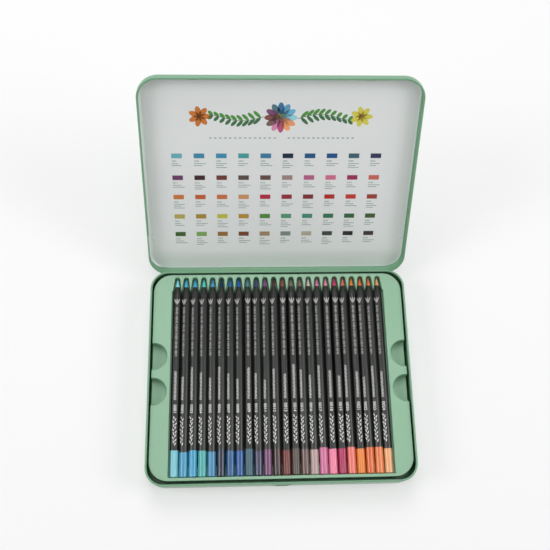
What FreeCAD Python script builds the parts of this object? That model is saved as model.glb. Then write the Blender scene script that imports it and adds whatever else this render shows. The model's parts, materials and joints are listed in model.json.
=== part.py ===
"""A hinged tinplate box with two lift-out trays of hexagonal colouring pencils.

Frame: +Z up, -Y to the front, +Y to the hinges, origin at the middle of the box's underside.
The lid stands open at its stop, as the box does when it is in use. Lengths are millimetres.
"""
import FreeCAD, Part
import math
import os
import Sketcher

# Driving dimensions. Each name becomes an alias in the sheet called Sizes.
SIZES = {
    # Pencils.
    "pencil_length": 175.0,
    "pencil_flats": 6.9,
    "pencil_edge_radius": 3.87,
    "pencil_end_round": 0.9,
    "pencil_end_cap": 0.6,
    "lead_radius": 2.0,
    "lead_tip_radius": 0.35,
    "lead_exposed": 7.8,
    # Trays.
    "tray_sheet": 0.45,
    "tray_corner": 16.5,
    "side_deck": 17.0,
    "end_deck": 2.5,
    "upper_slots": 24,
    "extra_lower_slots": 2,
    "slot_pitch": 8.0,
    "field_margin": 0.8,
    "slot_end_gap": 0.5,
    "slot_side_gap": 0.15,
    "seat_gap": 0.05,
    "slot_floor": 3.2,
    "slot_tip_width": 4.6,
    "slot_tip_length": 13.0,
    "slot_tip_corner": 1.2,
    "pencil_drop": 0.8,
    "rib_height": 3.2,
    "rib_top": 0.6,
    "rib_break_length": 1.6,
    "rib_break_depth": 1.0,
    "rib_break_near": 18.0,
    "rib_break_middle": 61.0,
    "rib_break_far": 129.0,
    "notch_radius": 12.0,
    "notch_foot_radius": 10.8,
    "notch_depth": 7.0,
    "notch_margin": 3.3,
    "notch_spacing": 31.0,
    # Base.
    "sheet": 0.4,
    "base_corner": 16.0,
    "base_foot_round": 2.5,
    "curl": 1.7,
    "tray_side_gap": 1.3,
    "tray_front_gap": 2.7,
    "tray_back_gap": 0.9,
    "deck_drop": 2.6,
    "thumb_width": 18.0,
    "thumb_proud": 0.8,
    "thumb_height": 3.0,
    "thumb_level": 11.0,
    # Lid.
    "lid_clearance": 0.45,
    "lid_top_gap": 0.6,
    "lid_skirt": 9.0,
    "lid_edge_round": 3.4,
    "lid_curl": 1.9,
    "lid_open_angle": 126.0,
    "snap_width": 9.0,
    "snap_height": 0.9,
    "snap_spread": 144.0,
    "snap_proud": 0.2,
    "snap_slope": 1.0,
    "dimple_foot": 2.4,
    "dimple_top": 1.4,
    "dimple_proud": 0.35,
    "dimple_root": 0.1,
    "dimple_from_side": 4.35,
    "dimple_from_back": 35.35,
    "lid_back_reach": 3.35,
    # Hinges.
    "pin_radius": 0.55,
    "pin_gap": 0.05,
    "leaf_sheet": 0.4,
    "hinge_gap": 0.55,
    "hinge_width": 20.0,
    "hinge_spread": 122.0,
    "base_knuckle": 9.6,
    "knuckle_gap": 0.2,
    "skirt_gap": 0.35,
    "base_leaf_height": 8.0,
}

# Upper pencils that lie with a flat on top, counted from the left. The others lie with an edge on top.
FLAT_TOP = (1, 9, 13, 14, 18, 19, 21)

# A rolled edge is rounded by this share of its width, which leaves a narrow flat between the rounds.
ROLL_SHARE = 0.46

COS_30 = math.cos(math.radians(30))
TAN_30 = math.tan(math.radians(30))

doc = FreeCAD.newDocument("colouring_pencil_box")
sheet = doc.addObject("Spreadsheet::Sheet", "Sizes")
for row, (alias, value) in enumerate(SIZES.items(), start=1):
    sheet.set(f"A{row}", alias)
    sheet.set(f"B{row}", str(value))
    sheet.setAlias(f"B{row}", alias)
doc.recompute()


def size(expression):
    """The text of an expression, with each alias in it read from the sheet."""
    words = []
    word = ""
    for letter in expression + " ":
        if letter.isalnum() or letter == "_":
            word += letter
            continue
        words.append(f"Sizes.{word}" if word in SIZES else word)
        words.append(letter)
        word = ""
    return "".join(words).strip()


# Sizes that follow from the driving ones.
HEX_CORNER = f"(pencil_flats / {2 * COS_30})"
POINT_SLOPE = "((lead_radius - lead_tip_radius) / lead_exposed)"
BARREL_START = f"((pencil_edge_radius - lead_tip_radius) / {POINT_SLOPE})"
LOWER_SLOTS = "(upper_slots + extra_lower_slots)"
SLOT_LENGTH = "(pencil_length + 2 * slot_end_gap)"
SLOT_STRAIGHT = f"({SLOT_LENGTH} - slot_tip_length)"
SLOT_FRONT = f"({SLOT_LENGTH} / -2)"
SLOT_SHOULDER = f"({SLOT_FRONT} + {SLOT_STRAIGHT})"
TRAY_WIDTH = "(upper_slots * slot_pitch + 2 * side_deck)"
TRAY_LENGTH = f"({SLOT_LENGTH} + 2 * end_deck)"
TRAY_HEIGHT = f"(slot_floor + 2 * {HEX_CORNER} + pencil_drop)"
TRAY_Y = "((tray_front_gap - tray_back_gap) / 2)"
LOWER_FOOT = "sheet"
UPPER_FOOT = f"(sheet + {TRAY_HEIGHT})"
BASE_WIDTH = f"({TRAY_WIDTH} + 2 * tray_side_gap + 2 * curl)"
BASE_LENGTH = f"({TRAY_LENGTH} + tray_front_gap + tray_back_gap + 2 * curl)"
BASE_HEIGHT = f"(sheet + 2 * {TRAY_HEIGHT} + deck_drop)"
CURL_ROUND = f"(curl * {ROLL_SHARE})"
LID_CURL_ROUND = f"(lid_curl * {ROLL_SHARE})"
LID_OVERHANG = "(lid_clearance + lid_curl)"
KNUCKLE = "(pin_radius + pin_gap + leaf_sheet)"
HINGE_Y = f"({BASE_LENGTH} / 2 + hinge_gap + {KNUCKLE})"
LID_FRONT = f"({BASE_LENGTH} / 2 + {LID_OVERHANG})"
LID_BACK = f"({HINGE_Y} + lid_back_reach)"
LID_WIDTH = f"({BASE_WIDTH} + 2 * {LID_OVERHANG})"
LID_LENGTH = f"({LID_FRONT} + {LID_BACK})"
LID_CORNER = f"(base_corner + {LID_OVERHANG})"
HINGE_DROP = f"({KNUCKLE} + skirt_gap)"
HINGE_Z = f"({BASE_HEIGHT} + lid_top_gap + sheet - lid_skirt - {HINGE_DROP})"


def bind(thing, prop, expression):
    """Tie a property to sizes in the sheet."""
    thing.setExpression(prop, size(expression))


def place(thing, x="0", y="0", z="0", axis=(0, 0, 1), angle="0"):
    """Tie a sub-part's Placement to sizes in the sheet."""
    at = f"create(<<vector>>; {size(x)}; {size(y)}; {size(z)})"
    about = f"create(<<vector>>; {axis[0]}; {axis[1]}; {axis[2]})"
    turn = f"create(<<rotation>>; {about}; {size(angle)})"
    thing.setExpression("Placement", f"create(<<placement>>; {at}; {turn})")


def new_body(name):
    body = doc.addObject("PartDesign::Body", name)
    body.Label = name
    return body


def origin_feature(body, role):
    for feature in body.Origin.OriginFeatures:
        if feature.Role == role:
            return feature
    raise LookupError(role)


def new_sketch(body, name, plane, x="0", y="0", z="0"):
    """A sketch on one of the body's own planes, moved by x, y and z in the sketch's own axes."""
    sketch = body.newObject("Sketcher::SketchObject", name)
    sketch.AttachmentSupport = [(origin_feature(body, plane), "")]
    sketch.MapMode = "FlatFace"
    for letter, expression in (("x", x), ("y", y), ("z", z)):
        bind(sketch, f"AttachmentOffset.Base.{letter}", expression)
    return sketch


def named_constraint(sketch, name, expression, *constraint):
    index = sketch.addConstraint(Sketcher.Constraint(*constraint))
    sketch.renameConstraint(index, name)
    bind(sketch, f"Constraints.{name}", expression)


def rounded_rectangle(sketch, name, width, length, corner):
    """A rectangle about the sketch's origin with tangent arcs at its corners."""
    x, y = number(width) / 2, number(length) / 2
    radius = number(corner)
    vector = FreeCAD.Vector
    quarter = math.pi / 2
    runs = (
        ((x - radius, -y), (x, radius - y)),
        ((x, y - radius), (x - radius, y)),
        ((radius - x, y), (-x, y - radius)),
        ((-x, radius - y), (radius - x, -y)),
    )
    first = sketch.GeometryCount
    for turn, (start, _) in enumerate(runs):
        before = runs[turn - 1][1]
        sketch.addGeometry(Part.LineSegment(vector(*before), vector(*start)))
        middle = vector(
            (x - radius) * (1 if turn in (0, 1) else -1), (y - radius) * (1 if turn in (1, 2) else -1)
        )
        circle = Part.Circle(middle, vector(0, 0, 1), radius)
        sketch.addGeometry(Part.ArcOfCircle(circle, (turn - 1) * quarter, turn * quarter))
    for turn in range(4):
        line = first + 2 * turn
        arc = line + 1
        following = first + (2 * turn + 2) % 8
        sketch.addConstraint(Sketcher.Constraint("Tangent", line, 2, arc, 1))
        sketch.addConstraint(Sketcher.Constraint("Tangent", arc, 2, following, 1))
        direction = "Horizontal" if turn % 2 == 0 else "Vertical"
        sketch.addConstraint(Sketcher.Constraint(direction, line))
        if turn:
            sketch.addConstraint(Sketcher.Constraint("Equal", first + 1, arc))
    sketch.addConstraint(Sketcher.Constraint("Symmetric", first + 1, 3, first + 5, 3, -1, 1))
    named_constraint(sketch, name + "_corner", corner, "Radius", first + 1, radius)
    named_constraint(sketch, name + "_width", width, "DistanceX", first + 6, 1, first + 2, 1, 2 * x)
    named_constraint(sketch, name + "_length", length, "DistanceY", first, 1, first + 4, 1, 2 * y)


def polygon(sketch, name, points):
    """A closed outline through points given as pairs of expressions."""
    values = [(number(x), number(y)) for x, y in points]
    first = sketch.GeometryCount
    for index, start in enumerate(values):
        end = values[(index + 1) % len(values)]
        sketch.addGeometry(Part.LineSegment(FreeCAD.Vector(*start), FreeCAD.Vector(*end)))
    for index, (x, y) in enumerate(points):
        line = first + index
        following = first + (index + 1) % len(points)
        sketch.addConstraint(Sketcher.Constraint("Coincident", line, 2, following, 1))
        for axis, expression, value in (("X", x, values[index][0]), ("Y", y, values[index][1])):
            if expression == "0":
                sketch.addConstraint(Sketcher.Constraint("PointOnObject", line, 1, -2 if axis == "X" else -1))
                continue
            title = f"{name}_{index}_{axis.lower()}"
            named_constraint(sketch, title, expression, f"Distance{axis}", -1, 1, line, 1, value)


def number(expression):
    """What an expression of sizes comes to now."""
    return float(sheet.evalExpression(expression))


def primitive(body, kind, name):
    """A ready-made shape added to the body or taken from it."""
    return body.newObject(f"PartDesign::{kind}", name)


def pad(body, name, sketch, length):
    feature = body.newObject("PartDesign::Pad", name)
    feature.Profile = sketch
    bind(feature, "Length", length)
    doc.recompute()
    return feature


def pocket(body, name, sketch, length, upward=False):
    """Cut down from the sketch, or up from it, and make sure that something was cut."""
    before = body.Shape.Volume
    feature = body.newObject("PartDesign::Pocket", name)
    feature.Profile = sketch
    feature.Reversed = upward
    bind(feature, "Length", length)
    doc.recompute()
    if body.Shape.Volume >= before:
        raise ValueError(f"{name} cuts nothing")
    return feature


def row_of(body, name, features, count, pitch):
    """Repeat features along X, or the whole body where no features are given."""
    feature = body.newObject("PartDesign::LinearPattern", name)
    feature.TransformMode = "Features" if features else "Whole shape"
    feature.Originals = features
    feature.Direction = (origin_feature(body, "X_Axis"), [""])
    bind(feature, "Length", f"({count} - 1) * {pitch}")
    bind(feature, "Occurrences", count)
    body.Tip = feature
    doc.recompute()
    return feature


def fillet(body, name, base, elements, radius):
    feature = body.newObject("PartDesign::Fillet", name)
    feature.Base = (base, elements)
    bind(feature, "Radius", radius)
    doc.recompute()
    return feature


def hollow_out(body, name, open_faces, thickness):
    """Leave a sheet inside the body's faces and take the open ones away."""
    solid = body.Tip
    feature = body.newObject("PartDesign::Thickness", name)
    feature.Base = (solid, open_faces)
    feature.Reversed = True
    bind(feature, "Value", thickness)
    doc.recompute()
    if body.Shape.Volume >= solid.Shape.Volume:
        raise ValueError(f"{name} hollows nothing")
    return feature


def level_faces(feature, height):
    """Names of the horizontal faces at a height."""
    return [
        f"Face{index}"
        for index, face in enumerate(feature.Shape.Faces, start=1)
        if face.BoundBox.ZLength < 1e-6 and abs(face.BoundBox.ZMin - height) < 1e-6
    ]


def ring_edges(feature, height, half_width, half_length):
    """Names of the edges at a height that lie on one rounded rectangle about the middle of the feature."""
    middle = feature.Shape.BoundBox.Center
    names = []
    for index, edge in enumerate(feature.Shape.Edges, start=1):
        box = edge.BoundBox
        reach_x = max(abs(box.XMin - middle.x), abs(box.XMax - middle.x))
        reach_y = max(abs(box.YMin - middle.y), abs(box.YMax - middle.y))
        at_height = box.ZLength < 1e-6 and abs(box.ZMin - height) < 1e-6
        on_side = abs(reach_x - half_width) < 1e-4
        on_end = abs(reach_y - half_length) < 1e-4
        if at_height and (on_side or on_end):
            names.append(f"Edge{index}")
    return names


def make_base():
    """A drawn tin with a rounded foot, a rim curled inwards, hinge windows and a thumb ridge."""
    body = new_body("base_shell")
    outline = new_sketch(body, "base_outline", "XY_Plane")
    rounded_rectangle(outline, "outside", BASE_WIDTH, BASE_LENGTH, "base_corner")
    block = pad(body, "base_block", outline, BASE_HEIGHT)
    foot = fillet(body, "base_foot", block, level_faces(block, 0.0), "base_foot_round")
    hollow_out(body, "base_sheet", level_faces(foot, number(BASE_HEIGHT)), "sheet")
    rim = new_sketch(body, "rim_outline", "XY_Plane", z=f"{BASE_HEIGHT} - curl")
    rounded_rectangle(rim, "outside", BASE_WIDTH, BASE_LENGTH, "base_corner")
    opening = (f"{BASE_WIDTH} - 2 * curl", f"{BASE_LENGTH} - 2 * curl", "base_corner - curl")
    rounded_rectangle(rim, "inside", *opening)
    ring = pad(body, "rim_curl", rim, "curl")
    outer_reach = (number(BASE_WIDTH) / 2, number(BASE_LENGTH) / 2)
    inner_reach = (number(opening[0]) / 2, number(opening[1]) / 2)
    edges = ring_edges(ring, number(BASE_HEIGHT), *outer_reach)
    edges += ring_edges(ring, number(BASE_HEIGHT), *inner_reach)
    edges += ring_edges(ring, number(f"{BASE_HEIGHT} - curl"), *inner_reach)
    fillet(body, "rim_round", ring, edges, CURL_ROUND)
    windows = new_sketch(body, "hinge_windows", "XZ_Plane", z=f"sheet * 2 - {BASE_LENGTH} / 2")
    for side, sign in (("left", "-1"), ("right", "1")):
        low_x = f"{sign} * hinge_spread / 2 - base_knuckle / 2 - knuckle_gap"
        high_x = f"{sign} * hinge_spread / 2 + base_knuckle / 2 + knuckle_gap"
        low_z = f"{HINGE_Z} - {KNUCKLE} - knuckle_gap"
        high_z = f"{HINGE_Z} - {KNUCKLE} + leaf_sheet + knuckle_gap"
        corners = [(low_x, low_z), (high_x, low_z), (high_x, high_z), (low_x, high_z)]
        polygon(windows, side, corners)
    pocket(body, "hinge_window_cut", windows, "sheet * 3")
    ridge = new_sketch(body, "thumb_outline", "XY_Plane", y=f"{BASE_LENGTH} / -2", z="thumb_level")
    corners = [
        ("thumb_width / 2", "sheet / 2"),
        ("thumb_width / 2", "0"),
        ("thumb_width / 4", "-thumb_proud"),
        ("thumb_width / -4", "-thumb_proud"),
        ("thumb_width / -2", "0"),
        ("thumb_width / -2", "sheet / 2"),
    ]
    polygon(ridge, "ridge", corners)
    pad(body, "thumb_ridge", ridge, "thumb_height")
    return body


def make_lid():
    """A shallow drawn lid. Its rim is curled inwards along the front and sides and left plain at the hinges.

    Its own origin lies on the hinge axis.
    """
    body = new_body("lid_shell")
    middle = f"(lid_back_reach - {LID_LENGTH} / 2)"
    outline = new_sketch(body, "lid_outline", "XY_Plane", y=middle, z=HINGE_DROP)
    rounded_rectangle(outline, "outside", LID_WIDTH, LID_LENGTH, LID_CORNER)
    block = pad(body, "lid_block", outline, "lid_skirt")
    top = number(f"{HINGE_DROP} + lid_skirt")
    edge = fillet(body, "lid_edge", block, level_faces(block, top), "lid_edge_round")
    hollow_out(body, "lid_sheet", level_faces(edge, number(HINGE_DROP)), "sheet")
    rim = new_sketch(body, "lid_curl_outline", "XY_Plane", y=middle, z=HINGE_DROP)
    rounded_rectangle(rim, "outside", LID_WIDTH, LID_LENGTH, LID_CORNER)
    opening = (f"{LID_WIDTH} - 2 * lid_curl", f"{LID_LENGTH} - 2 * lid_curl", f"{LID_CORNER} - lid_curl")
    rounded_rectangle(rim, "inside", *opening)
    ring = pad(body, "lid_curl", rim, "lid_curl")
    outer_reach = (number(LID_WIDTH) / 2, number(LID_LENGTH) / 2)
    inner_reach = (number(opening[0]) / 2, number(opening[1]) / 2)
    edges = ring_edges(ring, number(HINGE_DROP), *outer_reach)
    edges += ring_edges(ring, number(HINGE_DROP), *inner_reach)
    edges += ring_edges(ring, number(f"{HINGE_DROP} + lid_curl"), *inner_reach)
    fillet(body, "lid_curl_round", ring, edges, LID_CURL_ROUND)
    # The curl runs out before the back corners, which swing close to the base.
    plain_length = f"(3 * {LID_CORNER})"
    plain_y = f"lid_back_reach - sheet - {plain_length} / 2"
    plain = new_sketch(body, "plain_back_outline", "XY_Plane", y=plain_y, z=HINGE_DROP)
    rounded_rectangle(plain, "plain", f"{LID_WIDTH} - 2 * sheet", plain_length, f"{LID_CORNER} - sheet")
    pocket(body, "plain_back", plain, "lid_curl + sheet", upward=True)
    front = f"lid_curl + lid_back_reach - {LID_LENGTH}"
    snap_z = f"{HINGE_DROP} + (lid_curl - snap_height) / 2"
    for side, sign in (("left", "-1"), ("right", "1")):
        x = f"{sign} * snap_spread / 2"
        snap = new_sketch(body, f"snap_outline_{side}", "XY_Plane", x=x, y=front, z=snap_z)
        corners = [
            ("snap_width / -2", "lid_curl / -2"),
            ("snap_width / 2", "lid_curl / -2"),
            ("snap_width / 2", "0"),
            ("snap_width / 2 - snap_slope", "snap_proud"),
            ("snap_slope - snap_width / 2", "snap_proud"),
            ("snap_width / -2", "0"),
        ]
        polygon(snap, "snap", corners)
        pad(body, f"snap_{side}", snap, "snap_height")
    for side, sign in (("left", "-1"), ("right", "1")):
        dimple = primitive(body, "AdditiveCone", f"dimple_{side}")
        bind(dimple, "Radius1", "dimple_foot")
        bind(dimple, "Radius2", "dimple_top")
        bind(dimple, "Height", "dimple_proud + dimple_root")
        x = f"{sign} * ({LID_WIDTH} / 2 - dimple_from_side)"
        z = f"{HINGE_DROP} + lid_skirt - sheet + dimple_root"
        place(dimple, x, "lid_back_reach - dimple_from_back", z, axis=(1, 0, 0), angle="180")
        doc.recompute()
    place(body, y=HINGE_Y, z=HINGE_Z, axis=(-1, 0, 0), angle="lid_open_angle")
    return body


def slot_outline(sketch, name, margin):
    """The plan of a slot's narrow end, widened by a margin, with its wide side on the straight slots."""
    end = f"{SLOT_LENGTH} / 2 + {margin}"
    half_tip = f"slot_tip_width / 2 + {margin}"
    points = [
        (f"slot_pitch / 2 + {margin}", f"{SLOT_SHOULDER} - tray_sheet"),
        (f"slot_pitch / 2 + {margin}", SLOT_SHOULDER),
        (half_tip, f"{end} - slot_tip_corner"),
        (f"{half_tip} - slot_tip_corner", end),
    ]
    mirrored = [(f"-({x})", y) for x, y in reversed(points)]
    polygon(sketch, name, points + mirrored)


def make_tray(name, slots, foot):
    """A formed plastic tray: a deck and a skirt of one thin sheet, finger notches, slots and broken ribs."""
    body = new_body(name)
    reach = f"(({TRAY_WIDTH} - {slots} * slot_pitch) / 2 - notch_margin)"
    outline = new_sketch(body, f"{name}_outline", "XY_Plane")
    rounded_rectangle(outline, "outside", TRAY_WIDTH, TRAY_LENGTH, "tray_corner")
    pad(body, f"{name}_block", outline, TRAY_HEIGHT)
    inside = new_sketch(body, f"{name}_inside", "XY_Plane")
    inner = (f"{TRAY_WIDTH} - 2 * tray_sheet", f"{TRAY_LENGTH} - 2 * tray_sheet", "tray_corner - tray_sheet")
    rounded_rectangle(inside, "inside", *inner)
    pocket(body, f"{name}_hollow", inside, f"{TRAY_HEIGHT} - tray_sheet", upward=True)
    notches = []
    for side, across in (("left", "-1"), ("right", "1")):
        for end, along in (("front", "-1"), ("back", "1")):
            x = f"{across} * ({TRAY_WIDTH} / 2 - {reach} + notch_radius)"
            notches.append((f"{name}_notch_{side}_{end}", x, f"{along} * notch_spacing / 2"))
    for notch, x, y in notches:
        cup = primitive(body, "AdditiveCylinder", f"{notch}_cup")
        bind(cup, "Radius", "notch_radius + tray_sheet")
        bind(cup, "Height", "notch_depth + tray_sheet")
        place(cup, x, y, f"{TRAY_HEIGHT} - notch_depth - tray_sheet")
        doc.recompute()
    for side, x in (("left", f"{TRAY_WIDTH} / -2 - notch_radius * 2"), ("right", f"{TRAY_WIDTH} / 2")):
        trim = primitive(body, "SubtractiveBox", f"{name}_trim_{side}")
        bind(trim, "Length", "notch_radius * 2")
        bind(trim, "Width", "notch_spacing + notch_radius * 4")
        bind(trim, "Height", TRAY_HEIGHT)
        place(trim, x, "notch_spacing / -2 - notch_radius * 2")
        doc.recompute()
    for notch, x, y in notches:
        hollow = primitive(body, "SubtractiveCone", notch)
        bind(hollow, "Radius1", "notch_foot_radius")
        bind(hollow, "Radius2", "notch_radius")
        bind(hollow, "Height", "notch_depth")
        place(hollow, x, y, f"{TRAY_HEIGHT} - notch_depth")
        doc.recompute()
    first = f"({slots} - 1) * slot_pitch / -2"
    under = "(slot_floor - tray_sheet)"
    rib_top = "(slot_floor + rib_height)"
    half_row = f"{slots} * slot_pitch / 2"
    half_field = f"({half_row} + field_margin)"

    trough = new_sketch(body, f"{name}_trough_outline", "XY_Plane", z=under)
    low_y = f"{SLOT_FRONT} - tray_sheet"
    high_y = f"{SLOT_SHOULDER} + tray_sheet"
    corners = [
        (f"-({half_field} + tray_sheet)", low_y),
        (f"{half_field} + tray_sheet", low_y),
        (f"{half_field} + tray_sheet", high_y),
        (f"-({half_field} + tray_sheet)", high_y),
    ]
    polygon(trough, "trough", corners)
    pad(body, f"{name}_trough", trough, f"{TRAY_HEIGHT} - {under}")
    ends = new_sketch(body, f"{name}_slot_end_outline", "XY_Plane", x=first, z=under)
    slot_outline(ends, "end", "tray_sheet")
    end_walls = pad(body, f"{name}_slot_end", ends, f"{TRAY_HEIGHT} - {under}")
    row_of(body, f"{name}_slot_ends", [end_walls], slots, "slot_pitch")

    field = new_sketch(body, f"{name}_field_outline", "XY_Plane", z=TRAY_HEIGHT)
    corners = [
        (f"-{half_field}", SLOT_FRONT),
        (half_field, SLOT_FRONT),
        (half_field, SLOT_SHOULDER),
        (f"-{half_field}", SLOT_SHOULDER),
    ]
    polygon(field, "field", corners)
    pocket(body, f"{name}_field", field, f"{TRAY_HEIGHT} - {rib_top}")
    tips = new_sketch(body, f"{name}_tip_outline", "XY_Plane", x=first, z=TRAY_HEIGHT)
    slot_outline(tips, "tip", "0")
    tip_cut = pocket(body, f"{name}_tip", tips, f"{TRAY_HEIGHT} - slot_floor")
    row_of(body, f"{name}_tips", [tip_cut], slots, "slot_pitch")

    groove = new_sketch(body, f"{name}_groove_outline", "XZ_Plane", x=first, z=f"-{SLOT_FRONT}")
    half_seat = "(pencil_flats / 2 + slot_side_gap)"
    half_mouth = "(slot_pitch / 2 - rib_top / 2)"
    seat_z = f"slot_floor + {half_seat} * {TAN_30}"
    corners = [
        ("0", "slot_floor"),
        (half_seat, seat_z),
        (half_mouth, rib_top),
        (f"-{half_mouth}", rib_top),
        (f"-{half_seat}", seat_z),
    ]
    polygon(groove, "groove", corners)
    groove_cut = pocket(body, f"{name}_groove", groove, SLOT_STRAIGHT)
    row_of(body, f"{name}_grooves", [groove_cut], slots, "slot_pitch")

    relief = new_sketch(
        body, f"{name}_relief_outline", "XZ_Plane", x=f"{first} + slot_pitch / 2", z=f"-{SLOT_FRONT}"
    )
    half_relief = f"(slot_pitch / 2 - tray_sheet * {TAN_30})"
    corners = [
        (half_relief, under),
        ("0", f"{under} + {half_relief} * {TAN_30}"),
        (f"-{half_relief}", under),
    ]
    polygon(relief, "relief", corners)
    relief_cut = pocket(body, f"{name}_relief", relief, SLOT_STRAIGHT)
    row_of(body, f"{name}_reliefs", [relief_cut], f"{slots} - 1", "slot_pitch")

    breaks = new_sketch(body, f"{name}_rib_break_outline", "XY_Plane", z=rib_top)
    for where in ("near", "middle", "far"):
        low_y = f"{SLOT_FRONT} + rib_break_{where} - rib_break_length / 2"
        high_y = f"{SLOT_FRONT} + rib_break_{where} + rib_break_length / 2"
        corners = [
            (f"slot_pitch / 2 - {half_row}", low_y),
            (f"{half_row} - slot_pitch / 2", low_y),
            (f"{half_row} - slot_pitch / 2", high_y),
            (f"slot_pitch / 2 - {half_row}", high_y),
        ]
        polygon(breaks, where, corners)
    pocket(body, f"{name}_rib_breaks", breaks, "rib_break_depth")
    place(body, y=TRAY_Y, z=foot)
    return body


def pencil_turning(body, name, points):
    """Turn a solid about the pencil's axis, which is the body's Y axis with the point at +Y."""
    sketch = new_sketch(body, f"{name}_profile", "XY_Plane")
    polygon(sketch, "profile", [(x, f"pencil_length / 2 - {along}") for x, along in points])
    feature = body.newObject("PartDesign::Revolution", f"{name}_turning")
    feature.Profile = sketch
    feature.ReferenceAxis = (sketch, ["V_Axis"])
    feature.Angle = 360


def make_casing(name):
    """The wooden barrel: six flats, a sharpened cone, a lacquered end and a blind bore for the lead."""
    body = new_body(name)
    bore_end = "(pencil_length - pencil_end_cap)"
    points = [
        ("lead_radius", "lead_exposed"),
        ("pencil_edge_radius", BARREL_START),
        ("pencil_edge_radius", "(pencil_length - pencil_end_round)"),
        ("pencil_edge_radius - pencil_end_round", "pencil_length"),
        ("0", "pencil_length"),
        ("0", bore_end),
        ("lead_radius", bore_end),
    ]
    pencil_turning(body, name, points)
    section = new_sketch(body, f"{name}_section", "XZ_Plane")
    half = "pencil_flats / 2"
    corners = [
        ("0", HEX_CORNER),
        (half, f"{HEX_CORNER} / 2"),
        (half, f"{HEX_CORNER} / -2"),
        ("0", f"-{HEX_CORNER}"),
        (f"-{half}", f"{HEX_CORNER} / -2"),
        (f"-{half}", f"{HEX_CORNER} / 2"),
    ]
    polygon(section, "hexagon", corners)
    waste = f"{HEX_CORNER} + slot_side_gap"
    centre = FreeCAD.Vector(0, 0, 0)
    circle = section.addGeometry(Part.Circle(centre, FreeCAD.Vector(0, 0, 1), number(waste)))
    section.addConstraint(Sketcher.Constraint("Coincident", circle, 3, -1, 1))
    named_constraint(section, "waste", waste, "Radius", circle, number(waste))
    flats = body.newObject("PartDesign::Pocket", f"{name}_flats")
    flats.Profile = section
    flats.Type = "ThroughAll"
    flats.Midplane = True
    doc.recompute()
    return body


def make_core(name):
    """The coloured lead, pointed with the barrel."""
    body = new_body(name)
    bore_end = "(pencil_length - pencil_end_cap)"
    points = [
        ("0", "0"),
        ("lead_tip_radius", "0"),
        ("lead_radius", "lead_exposed"),
        ("lead_radius", bore_end),
        ("0", bore_end),
    ]
    pencil_turning(body, name, points)
    doc.recompute()
    return body


def make_upper_pencils():
    """Each upper pencil is a barrel and a lead, lying in its own slot of the upper tray."""
    made = []
    count = int(SIZES["upper_slots"])
    for index in range(count):
        x = f"({index} - ({count} - 1) / 2) * slot_pitch"
        flat_top = index + 1 in FLAT_TOP
        rise = f"pencil_edge_radius / {COS_30}" if flat_top else HEX_CORNER
        roll = "30" if flat_top else "0"
        for kind, make in (("casing", make_casing), ("core", make_core)):
            body = make(f"upper_pencil_{index + 1:02d}_{kind}")
            z = f"{UPPER_FOOT} + slot_floor + {rise} + seat_gap"
            place(body, x, TRAY_Y, z, axis=(0, 1, 0), angle=roll)
            made.append(body)
    return made


def make_lower_pencils():
    """The lower pencils lie as one set in the lower tray, barrels in one group and leads in another."""
    made = []
    for kind, make in (("casings", make_casing), ("cores", make_core)):
        body = make(f"lower_pencil_{kind}")
        body.AllowCompound = True
        row_of(body, f"lower_pencil_{kind}_row", [], LOWER_SLOTS, "slot_pitch")
        z = f"{LOWER_FOOT} + slot_floor + {HEX_CORNER} + seat_gap"
        place(body, f"({LOWER_SLOTS} - 1) * slot_pitch / -2", TRAY_Y, z)
        made.append(body)
    return made


def block_piece(name, width, length, height, x, y, z):
    piece = doc.addObject("Part::Box", name)
    bind(piece, "Length", width)
    bind(piece, "Width", length)
    bind(piece, "Height", height)
    place(piece, x, y, z)
    return piece


def rod_piece(name, radius, length, x):
    """A rod along X on the hinge axis."""
    piece = doc.addObject("Part::Cylinder", name)
    bind(piece, "Radius", radius)
    bind(piece, "Height", length)
    place(piece, x, axis=(0, 1, 0), angle="90")
    return piece


def joined(name, pieces, bored_by):
    """Pieces of one leaf, with the pin's hole through them."""
    whole = doc.addObject("Part::MultiFuse", f"{name}_sheet")
    whole.Shapes = pieces
    leaf = doc.addObject("Part::Cut", name)
    leaf.Base = whole
    leaf.Tool = bored_by
    leaf.Label = name
    return leaf


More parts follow.
